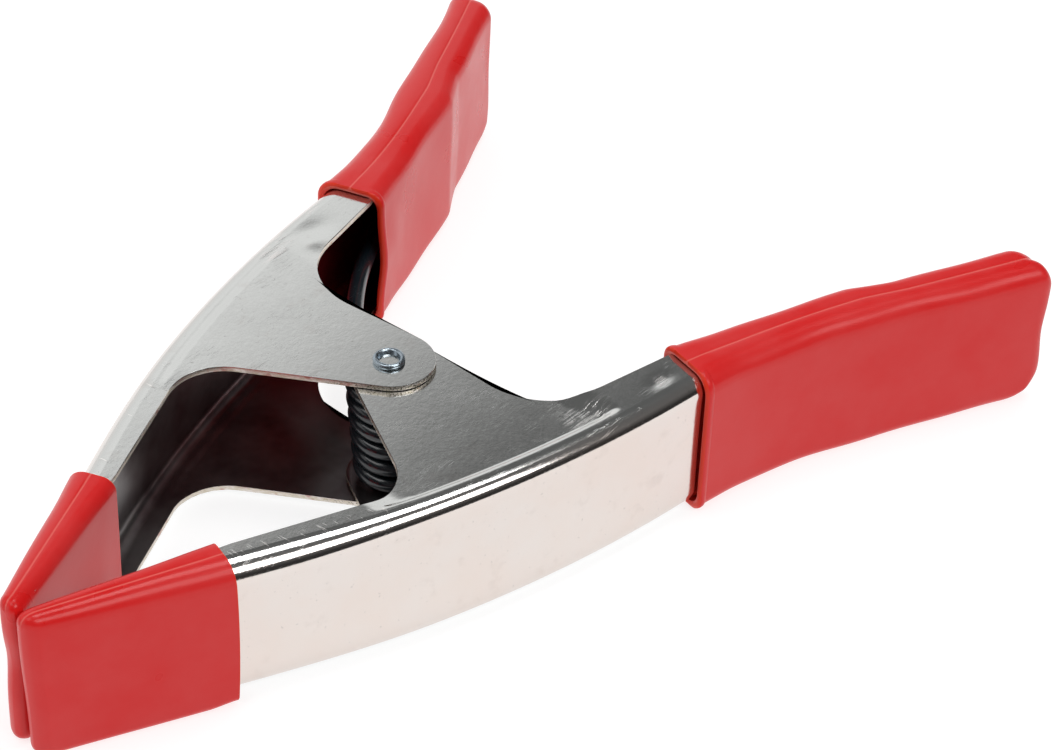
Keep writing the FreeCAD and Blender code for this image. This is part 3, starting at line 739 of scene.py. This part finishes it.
class Tree:
    """Short way to place and link shader nodes."""

    def __init__(self, tree):
        self.tree = tree
        self.count = 0

    def add(self, kind, values=None, **settings):
        """New node with its settings, and its inputs linked or set."""
        node = self.tree.nodes.new(kind)
        node.location = (190 * (self.count % 9), -240 * (self.count // 9))
        self.count += 1
        for key, value in settings.items():
            setattr(node, key, value)
        for key, value in (values or {}).items():
            self.put(node.inputs[key], value)
        return node

    def put(self, socket, value):
        """Links an output to a socket, or sets the socket's value."""
        if isinstance(value, bpy.types.NodeSocket):
            self.tree.links.new(value, socket)
        else:
            socket.default_value = value

    def stored(self, name):
        """Vector that the mesh stores under a name."""
        return self.add("ShaderNodeAttribute", attribute_name=name).outputs["Vector"]

    def parts(self, vector):
        """The three parts of a vector."""
        return self.add("ShaderNodeSeparateXYZ", {"Vector": vector}).outputs

    def math(self, operation, a, b=0.0):
        """Output of a Math node."""
        node = self.add("ShaderNodeMath", operation=operation)
        for socket, value in zip(node.inputs, (a, b)):
            self.put(socket, value)
        return node.outputs[0]

    def total(self, first, *rest):
        """Sum of values."""
        for value in rest:
            first = self.math("ADD", first, value)
        return first

    def product(self, first, *rest):
        """Product of values."""
        for value in rest:
            first = self.math("MULTIPLY", first, value)
        return first

    def noise(self, vector, scale, detail=3.0, rough=0.5):
        """Factor of a Noise Texture."""
        values = {"Vector": vector, "Scale": scale, "Detail": detail, "Roughness": rough}
        return self.add("ShaderNodeTexNoise", values).outputs["Fac"]

    def span(self, value, low, high, to_low=0.0, to_high=1.0):
        """Value moved from one range to another and held inside it."""
        values = {"Value": value, "From Min": low, "From Max": high, "To Min": to_low, "To Max": to_high}
        return self.add("ShaderNodeMapRange", values).outputs["Result"]

    def mix(self, factor, a, b):
        """Mixed colour."""
        node = self.add("ShaderNodeMix", data_type="RGBA")
        for key, value in ((0, factor), (6, a), (7, b)):
            self.put(node.inputs[key], value)
        return node.outputs[2]

    def turned(self, vector, angle, scale):
        """Coordinates turned in plan and scaled along each axis."""
        values = {"Vector": vector, "Rotation": (0, 0, math.radians(angle)), "Scale": scale}
        return self.add("ShaderNodeMapping", values).outputs[0]

    def bump(self, height, strength, distance):
        """Normal from a height."""
        values = {"Height": height, "Strength": strength, "Distance": distance}
        return self.add("ShaderNodeBump", values).outputs["Normal"]

    def group(self, tree, values):
        """Placed node group."""
        node = self.add("ShaderNodeGroup", node_tree=tree)
        for key, value in values.items():
            self.put(node.inputs[key], value)
        return node.outputs

    def patch(self, place, centre, angle, size, soft=0.35):
        """Mask of a turned rectangle in plan with soft ends, sizes in millimetres."""
        a = math.radians(angle)
        split = self.parts(place)
        x = self.math("SUBTRACT", split[0], centre[0])
        y = self.math("SUBTRACT", split[1], centre[1])
        masks = []
        for (p, q), reach in zip(((math.cos(a), math.sin(a)), (-math.sin(a), math.cos(a))), size):
            away = self.total(self.product(x, p), self.product(y, q))
            masks.append(self.span(self.math("ABSOLUTE", away), reach * (1 + soft), reach * (1 - soft)))
        return self.product(*masks)


def open_group(name, inputs, outputs):
    """New shader node group with its sockets: its tree, its input node and its output node."""
    group = bpy.data.node_groups.new(name, "ShaderNodeTree")
    for label, kind, default in inputs:
        socket = group.interface.new_socket(name=label, in_out="INPUT", socket_type=kind)
        if default is not None:
            socket.default_value = default
    for label, kind in outputs:
        group.interface.new_socket(name=label, in_out="OUTPUT", socket_type=kind)
    tree = Tree(group)
    return group, tree, tree.add("NodeGroupInput").outputs, tree.add("NodeGroupOutput").inputs


def surface_grain():
    """Fine grain and broad clouds, shared by every finish."""
    if "surface_grain" in bpy.data.node_groups:
        return bpy.data.node_groups["surface_grain"]
    inputs = (
        ("Place", "NodeSocketVector", None),
        ("Grain Scale", "NodeSocketFloat", 2.0),
        ("Cloud Scale", "NodeSocketFloat", 0.1),
    )
    outputs = (("Grain", "NodeSocketFloat"), ("Cloud", "NodeSocketFloat"))
    group, tree, given, out = open_group("surface_grain", inputs, outputs)
    tree.put(out["Grain"], tree.noise(given["Place"], given["Grain Scale"], 2, 0.55))
    cloud = tree.noise(given["Place"], given["Cloud Scale"], 4, 0.6)
    tree.put(out["Cloud"], tree.span(cloud, 0.32, 0.68))
    return group


def handling_scratches():
    """Thin sparse scratches in two directions, shared by the steel and the rivet."""
    if "handling_scratches" in bpy.data.node_groups:
        return bpy.data.node_groups["handling_scratches"]
    inputs = (("Place", "NodeSocketVector", None), ("Spacing", "NodeSocketFloat", 1.0))
    group, tree, given, out = open_group(
        "handling_scratches", inputs, (("Scratch", "NodeSocketFloat"),)
    )
    wide = tree.add("ShaderNodeVectorMath", {0: given["Place"]}, operation="SCALE")
    tree.put(wide.inputs["Scale"], given["Spacing"])
    masks = []
    for angle, stretch in ((24, 0.05), (-63, 0.09)):
        line = tree.noise(tree.turned(wide.outputs[0], angle, (stretch, 1.6, 0.5)), 1.0, 2, 0.5)
        ridge = tree.math("ABSOLUTE", tree.math("SUBTRACT", line, 0.5))
        thin = tree.span(ridge, 0.006, 0.0)
        gate = tree.span(tree.noise(wide.outputs[0], 0.21 + angle * 0.001, 2, 0.5), 0.56, 0.66)
        masks.append(tree.product(thin, gate))
    tree.put(out["Scratch"], tree.math("MAXIMUM", *masks))
    return group


def new_material(name):
    """Material with a Principled shader."""
    material = bpy.data.materials.new(name)
    material.use_nodes = True
    material.node_tree.nodes.clear()
    tree = Tree(material.node_tree)
    shader = tree.add("ShaderNodeBsdfPrincipled")
    output = tree.add("ShaderNodeOutputMaterial")
    material.node_tree.links.new(shader.outputs[0], output.inputs[0])
    return material, tree, shader


def feed(tree, shader, **inputs):
    """Sets or links the shader's inputs."""
    for key, value in inputs.items():
        tree.put(shader.inputs[key.replace("_", " ")], value)


def plate_colour(tree, place, inset, cloud, colours):
    """Bright plate, cooler away from the web, with faint smudges and specks."""
    warm = tuple(c * k for c, k in zip(colours.steel, (1.0, 0.965, 0.945)))
    cool = tuple(c * k for c, k in zip(colours.steel, (0.89, 0.98, 1.01)))
    skin = tree.mix(cloud, colour(colours.steel), colour(warm))
    skin = tree.mix(tree.span(inset, 0.6, 3.0), skin, colour(cool))
    smudge = tree.span(tree.noise(place, 0.16, 4, 0.62), 0.58, 0.74)
    skin = tree.mix(tree.product(smudge, 0.13), skin, (0.40, 0.31, 0.27, 1))
    speck = tree.span(tree.noise(place, 1.3, 1, 0.4), 0.745, 0.77)
    return tree.mix(tree.product(speck, 0.18), skin, (0.22, 0.19, 0.18, 1))


def inside_shade_colour(tree, place, side, colours):
    """Painted shade on the inner face: dark grey with darker blotches, stained by vinyl that ran in beside
    the sleeves and the coil.
    """
    blotch = tree.noise(place, 0.07, 3, 0.6)
    # painted shade: the inner face is painted dark grey with darker blotches where it lies in shade and
    # mirrors the dark inside
    painted_shade = tree.mix(tree.span(blotch, 0.4, 0.65), colour(colours.inside), (0.17, 0.14, 0.145, 1))
    rear = tree.span(tree.parts(place)[0], 2, 16)
    stained = tree.product(tree.patch(place, (-22, 44 * side), 12 * side, (17, 9), 0.9), 0.35)
    return tree.mix(tree.math("MAXIMUM", rear, stained), painted_shade, (0.30, 0.025, 0.03, 1))


def joggle_wear(tree, place, side, top):
    """Mask of the strokes where the joggle was pressed, beside the sleeves."""
    if side > 0:
        patches = (((13.5, 45.2), 18, (5.0, 2.6)), ((30.5, 50.3), 14, (3.0, 1.2)))
        strokes = tree.turned(place, -68, (0.11, 2.6, 1.0))
    else:
        patches = (((14.5, -41.6), -18, (4.6, 3.4)), ((33, -46.4), -12, (1.4, 1.8)))
        strokes = tree.turned(place, 62, (0.10, 2.3, 1.0))
    worn = tree.math("MAXIMUM", *(tree.patch(place, *patch) for patch in patches))
    stroke = tree.span(tree.noise(strokes, 1.0, 3, 0.6), 0.46, 0.60)
    torn = tree.span(tree.noise(place, 0.42, 3, 0.6), 0.36, 0.5)
    return tree.product(worn, top, stroke, torn)


def die_ticks(tree, place, side, inset, outside, top):
    """Mask of the transverse marks that the bending die left along the front bends."""
    ticks = tree.noise(tree.turned(place, 26 * side, (2.1, 0.22, 0.4)), 1.0, 2, 0.5)
    band = tree.product(tree.span(inset, 2.4, 3.2), tree.span(inset, 6.4, 5.2))
    front = tree.span(tree.parts(place)[0], -28, -34)
    return tree.product(tree.span(ticks, 0.63, 0.68), band, front, outside, top)


def raw_edge(tree, place, colours):
    """Sheared edge: yellowish, torn dark near the ears, with red stain in places."""
    layers = tree.noise(tree.turned(place, 0, (0.5, 0.5, 2.6)), 1.6, 3, 0.6)
    raw = tree.mix(tree.span(layers, 0.4, 0.6), colour(colours.sheared), (0.80, 0.74, 0.70, 1))
    torn = tree.span(tree.noise(place, 2.6, 3, 0.7), 0.52, 0.58)
    away = tree.add("ShaderNodeVectorMath", {0: place}, operation="LENGTH").outputs["Value"]
    raw = tree.mix(tree.product(torn, tree.span(away, 22.5, 18.5)), raw, (0.09, 0.075, 0.05, 1))
    stain = tree.span(tree.noise(place, 0.3, 2, 0.5), 0.60, 0.66)
    return tree.mix(tree.product(stain, 0.5), raw, (0.42, 0.07, 0.04, 1))


def steel_material(name, side, colours):
    """Bright plate, rougher inside and painted dark there as painted shade, raw on the sheared edges,
    scuffed where the press touched it.
    """
    material, tree, shader = new_material(name)
    place = tree.stored("place")
    inset, sheared, within = tree.parts(tree.stored("sheet"))
    grain, cloud = tree.group(surface_grain(), {"Place": place, "Grain Scale": 2.2, "Cloud Scale": 0.055})
    scratch = tree.group(handling_scratches(), {"Place": place, "Spacing": 0.8})[0]
    top = tree.span(tree.parts(place)[2], 14.2, 15.2)
    outside = tree.math("SUBTRACT", 1.0, within)
    edge = tree.span(sheared, 0.3, 0.9)
    worn = joggle_wear(tree, place, side, top)
    tick = die_ticks(tree, place, side, inset, outside, top)

    plate = plate_colour(tree, place, inset, cloud, colours)
    # painted shade: the inner skin takes the dark inside colour
    skin = tree.mix(within, plate, inside_shade_colour(tree, place, side, colours))
    skin = tree.mix(tree.product(worn, 0.75), skin, (0.86, 0.82, 0.80, 1))
    skin = tree.mix(tree.product(tick, 0.7), skin, (0.9, 0.87, 0.84, 1))
    skin = tree.mix(edge, skin, raw_edge(tree, place, colours))
    rough = tree.total(
        tree.span(cloud, 0, 1, 0.095, 0.125),
        tree.span(grain, 0.3, 0.7, -0.015, 0.03),
        tree.product(worn, 0.22),
        tree.product(within, 0.20),
        tree.product(edge, 0.25),
    )
    ripple = tree.noise(place, 0.75, 3, 0.55)
    height = tree.total(
        tree.product(grain, 0.10),
        tree.product(ripple, 0.25),
        tree.product(worn, 0.35),
        tree.product(tick, 0.5),
    )
    height = tree.math("SUBTRACT", height, tree.product(scratch, 0.12))
    normal = tree.bump(height, 0.3, 0.0001)
    feed(tree, shader, Base_Color=skin, Metallic=1.0, Roughness=rough, Normal=normal)
    return material


def vinyl_material(name, colours):
    """Dipped vinyl: glossy with soft clouds, brighter where it is thin at the lip."""
    material, tree, shader = new_material(name)
    place = tree.stored("place")
    cover = tree.stored("cover")
    across, lip = tree.parts(cover)[1:]
    grain, cloud = tree.group(surface_grain(), {"Place": place, "Grain Scale": 1.7, "Cloud Scale": 0.045})
    level = tree.parts(place)[2]
    thin = tuple(min(1.0, c * k) for c, k in zip(colours.vinyl, (1.08, 2.6, 0.8)))
    dusty = tuple(c + (1 - c) * 0.035 for c in colours.vinyl)
    skin = tree.mix(tree.product(cloud, 0.6), colour(colours.vinyl), colour(dusty))
    skin = tree.mix(tree.span(lip, 0.2, 0.9), skin, colour(thin))
    # the mould line catches a little dust
    line = tree.span(tree.math("ABSOLUTE", across), 0.3, 0.08)
    line = tree.product(line, tree.span(level, 15, 17))
    skin = tree.mix(tree.product(line, 0.3), skin, (0.9, 0.3, 0.25, 1))
    rough = tree.span(cloud, 0, 1, 0.26, 0.38)
    wave = tree.noise(place, 0.16, 2, 0.5)
    height = tree.total(tree.product(grain, 0.06), tree.product(wave, 0.9))
    normal = tree.bump(height, 0.3, 0.0002)
    feed(tree, shader, Base_Color=skin, Roughness=rough, Normal=normal)
    feed(tree, shader, Specular_IOR_Level=0.22, Coat_Weight=0.1, Coat_Roughness=0.12)
    return material


def wire_material(name, colours):
    """Black lacquered wire with faint dusty clouds and fine grain."""
    material, tree, shader = new_material(name)
    place = tree.stored("place")
    grain, cloud = tree.group(surface_grain(), {"Place": place, "Grain Scale": 2.4, "Cloud Scale": 0.2})
    dusty = tuple(c + 0.005 for c in colours.wire)
    skin = tree.mix(cloud, colour(colours.wire), colour(dusty))
    rough = tree.total(tree.span(cloud, 0, 1, 0.13, 0.24), tree.span(grain, 0.3, 0.7, 0, 0.05))
    normal = tree.bump(grain, 0.12, 0.0001)
    feed(tree, shader, Base_Color=skin, Roughness=rough, Normal=normal, Specular_IOR_Level=0.7)
    return material


def zinc_material(name, colours):
    """Blue-bright zinc, satin with fine dents from the press."""
    material, tree, shader = new_material(name)
    place = tree.stored("place")
    grain, cloud = tree.group(surface_grain(), {"Place": place, "Grain Scale": 2.0, "Cloud Scale": 0.7})
    scratch = tree.group(handling_scratches(), {"Place": place, "Spacing": 2.0})[0]
    dark = tuple(c * 0.7 for c in colours.zinc)
    skin = tree.mix(cloud, colour(colours.zinc), colour(dark))
    rough = tree.total(tree.span(grain, 0.3, 0.7, 0.2, 0.34), tree.product(scratch, 0.1))
    height = tree.math("SUBTRACT", grain, tree.product(scratch, 0.4))
    normal = tree.bump(height, 0.12, 0.0001)
    feed(tree, shader, Base_Color=skin, Metallic=1.0, Roughness=rough, Normal=normal)
    return material


# ---------------------------------------------------------------- stage


def build_floor(colours):
    """Plain pale floor that glows a little, so that it stays even all the way to its edge."""
    reach = 6.0
    mesh = bpy.data.meshes.new("floor")
    corners = [(-reach, -reach, 0), (reach, -reach, 0), (reach, reach, 0), (-reach, reach, 0)]
    mesh.from_pydata(corners, [], [(0, 1, 2, 3)])
    floor = bpy.data.objects.new("floor", mesh)
    bpy.context.scene.collection.objects.link(floor)
    material, tree, shader = new_material("floor")
    feed(tree, shader, Base_Color=colour(c * 0.35 for c in colours.floor), Roughness=0.8)
    feed(tree, shader, Emission_Color=(1, 1, 1, 1), Emission_Strength=0.78)
    mesh.materials.append(material)


def build_surroundings():
    """Studio surroundings: a bright wall behind the clamp, a dim room elsewhere."""
    world = bpy.data.worlds.new("studio")
    bpy.context.scene.world = world
    world.use_nodes = True
    world.node_tree.nodes.clear()
    tree = Tree(world.node_tree)
    direction = tree.add("ShaderNodeTexCoord").outputs["Generated"]
    values = {0: direction, 1: (-0.0556, 0.797, -0.6015)}
    toward = tree.add("ShaderNodeVectorMath", values, operation="DOT_PRODUCT").outputs["Value"]
    wall = tree.add("ShaderNodeMapRange", {"Value": toward}, interpolation_type="SMOOTHSTEP")
    for key, value in (("From Min", -0.034), ("From Max", 0.075), ("To Min", 0.0), ("To Max", 0.88)):
        wall.inputs[key].default_value = value
    height = tree.parts(direction)["Z"]
    dome = tree.span(height, 0.25, 0.62, 0.03, 0.135)
    level = tree.total(wall.outputs[0], dome)
    shade = tree.add("ShaderNodeCombineColor", {"Red": level, "Green": level, "Blue": level})
    back = tree.add("ShaderNodeBackground", {"Color": shade.outputs[0], "Strength": 1.0})
    out = tree.add("ShaderNodeOutputWorld")
    world.node_tree.links.new(back.outputs[0], out.inputs[0])


def softbox(name, azimuth, elevation, distance, size, radiance):
    """Area light that faces the clamp from a direction."""
    a, e = math.radians(azimuth), math.radians(elevation)
    way = Vector((math.cos(a) * math.cos(e), math.sin(a) * math.cos(e), math.sin(e)))
    data = bpy.data.lights.new(name, "AREA")
    data.shape = "RECTANGLE"
    data.size, data.size_y = size
    data.energy = radiance * math.pi * size[0] * size[1]
    lamp = bpy.data.objects.new(name, data)
    bpy.context.scene.collection.objects.link(lamp)
    lamp.location = way * distance
    lamp.rotation_euler = way.to_track_quat("Z", "Y").to_euler()


def build_camera():
    """Camera above the jaws' side, looking along the clamp."""
    azimuth, elevation, roll = (math.radians(v) for v in (-51.95, 37.66, 2.51))
    target = Vector(to_frame([31.80, -11.74, 0.65]))
    level = math.cos(elevation)
    back = Vector((math.sin(azimuth) * level, -math.cos(azimuth) * level, math.sin(elevation)))
    right = (-back).cross(Vector((0, 0, 1))).normalized()
    up = right.cross(-back)
    side = right * math.cos(roll) + up * math.sin(roll)
    top = up * math.cos(roll) - right * math.sin(roll)
    data = bpy.data.cameras.new("camera")
    data.lens = 108.5
    data.sensor_width = 36.0
    data.clip_start = 0.01
    camera = bpy.data.objects.new("camera", data)
    bpy.context.scene.collection.objects.link(camera)
    place = target + back * 0.68549
    rows = [(side[i], top[i], back[i], place[i]) for i in range(3)]
    camera.matrix_world = Matrix((*rows, (0, 0, 0, 1)))
    bpy.context.scene.camera = camera


# ---------------------------------------------------------------- operators and panel


def finish_with(piece, material):
    """Gives a piece its finish."""
    piece.data.materials.append(material)


class CLAMP_OT_stage(bpy.types.Operator):
    """Lay the floor and place the lights and the camera"""

    bl_idname = "clamp.stage"
    bl_label = "Stage"

    def execute(self, context):
        build_floor(context.scene.clamp_colours)
        build_surroundings()
        softbox("front_box", -90, 45, 1.5, (0.92, 0.56), 5.0)
        softbox("top_box", -6, 74.5, 1.5, (0.54, 0.52), 7.0)
        softbox("rear_box", 165, 62, 1.5, (1.0, 0.8), 2.2)
        build_camera()
        context.scene.view_settings.view_transform = "Standard"
        return {"FINISHED"}


class CLAMP_OT_arms(bpy.types.Operator):
    """Build the two pressed steel arms"""

    bl_idname = "clamp.arms"
    bl_label = "Arms"

    def execute(self, context):
        sizes, colours = context.scene.clamp_sizes, context.scene.clamp_colours
        for name, side, body, node in (
            ("arm_outer", 1, OUTER_BODY, "outer_arm"),
            ("arm_inner", -1, INNER_BODY, "inner_arm"),
        ):
            piece = build_arm(name, side, body, [node], sizes)
            finish_with(piece, steel_material(f"plated_steel_{node}", side, colours))
        return {"FINISHED"}


class CLAMP_OT_covers(bpy.types.Operator):
    """Build the vinyl jaw caps and grip sleeves"""

    bl_idname = "clamp.covers"
    bl_label = "Vinyl Covers"

    def execute(self, context):
        sizes = context.scene.clamp_sizes
        vinyl = vinyl_material("red_vinyl", context.scene.clamp_colours)
        for end, side, body in (("outer", 1, OUTER_BODY), ("inner", -1, INNER_BODY)):
            cap = build_cap(f"cap_{end}", side, body, [f"{end}_jaw_cap"], sizes)
            sleeve = build_sleeve(f"sleeve_{end}", side, body, [f"{end}_handle_sleeve"], sizes)
            finish_with(cap, vinyl)
            finish_with(sleeve, vinyl)
        return {"FINISHED"}


class CLAMP_OT_rivet(bpy.types.Operator):
    """Build the pivot rivet"""

    bl_idname = "clamp.rivet"
    bl_label = "Rivet"

    def execute(self, context):
        piece = build_rivet("rivet", OUTER_BODY, ["pivot_rivet"], context.scene.clamp_sizes)
        finish_with(piece, zinc_material("zinc", context.scene.clamp_colours))
        return {"FINISHED"}


class CLAMP_OT_spring(bpy.types.Operator):
    """Wind the torsion spring"""

    bl_idname = "clamp.spring"
    bl_label = "Spring"

    def execute(self, context):
        piece = build_spring("spring", ["torsion_spring"], context.scene.clamp_sizes)
        finish_with(piece, wire_material("black_wire", context.scene.clamp_colours))
        return {"FINISHED"}


class CLAMP_PT_panel(bpy.types.Panel):
    """Sizes, colours and pieces of the spring clamp"""

    bl_idname = "CLAMP_PT_panel"
    bl_label = "Spring Clamp"
    bl_space_type = "VIEW_3D"
    bl_region_type = "UI"
    bl_category = "Spring Clamp"

    def draw(self, context):
        layout = self.layout
        for group in (context.scene.clamp_sizes, context.scene.clamp_colours):
            column = layout.column(align=True)
            for key in group.__annotations__:
                column.prop(group, key)
        for operator in OPERATORS:
            layout.operator(operator.bl_idname)


OPERATORS = (CLAMP_OT_stage, CLAMP_OT_arms, CLAMP_OT_covers, CLAMP_OT_rivet, CLAMP_OT_spring)
CLASSES = (ClampSizes, ClampColours, *OPERATORS, CLAMP_PT_panel)


def register():
    for cls in CLASSES:
        bpy.utils.register_class(cls)
    bpy.types.Scene.clamp_sizes = PointerProperty(type=ClampSizes)
    bpy.types.Scene.clamp_colours = PointerProperty(type=ClampColours)


def unregister():
    del bpy.types.Scene.clamp_colours
    del bpy.types.Scene.clamp_sizes
    for cls in reversed(CLASSES):
        bpy.utils.unregister_class(cls)


def main():
    """Registers the classes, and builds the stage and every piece."""
    register()
    bpy.ops.clamp.stage()
    bpy.ops.clamp.arms()
    bpy.ops.clamp.covers()
    bpy.ops.clamp.rivet()
    bpy.ops.clamp.spring()


if __name__ == "__main__":
    main()
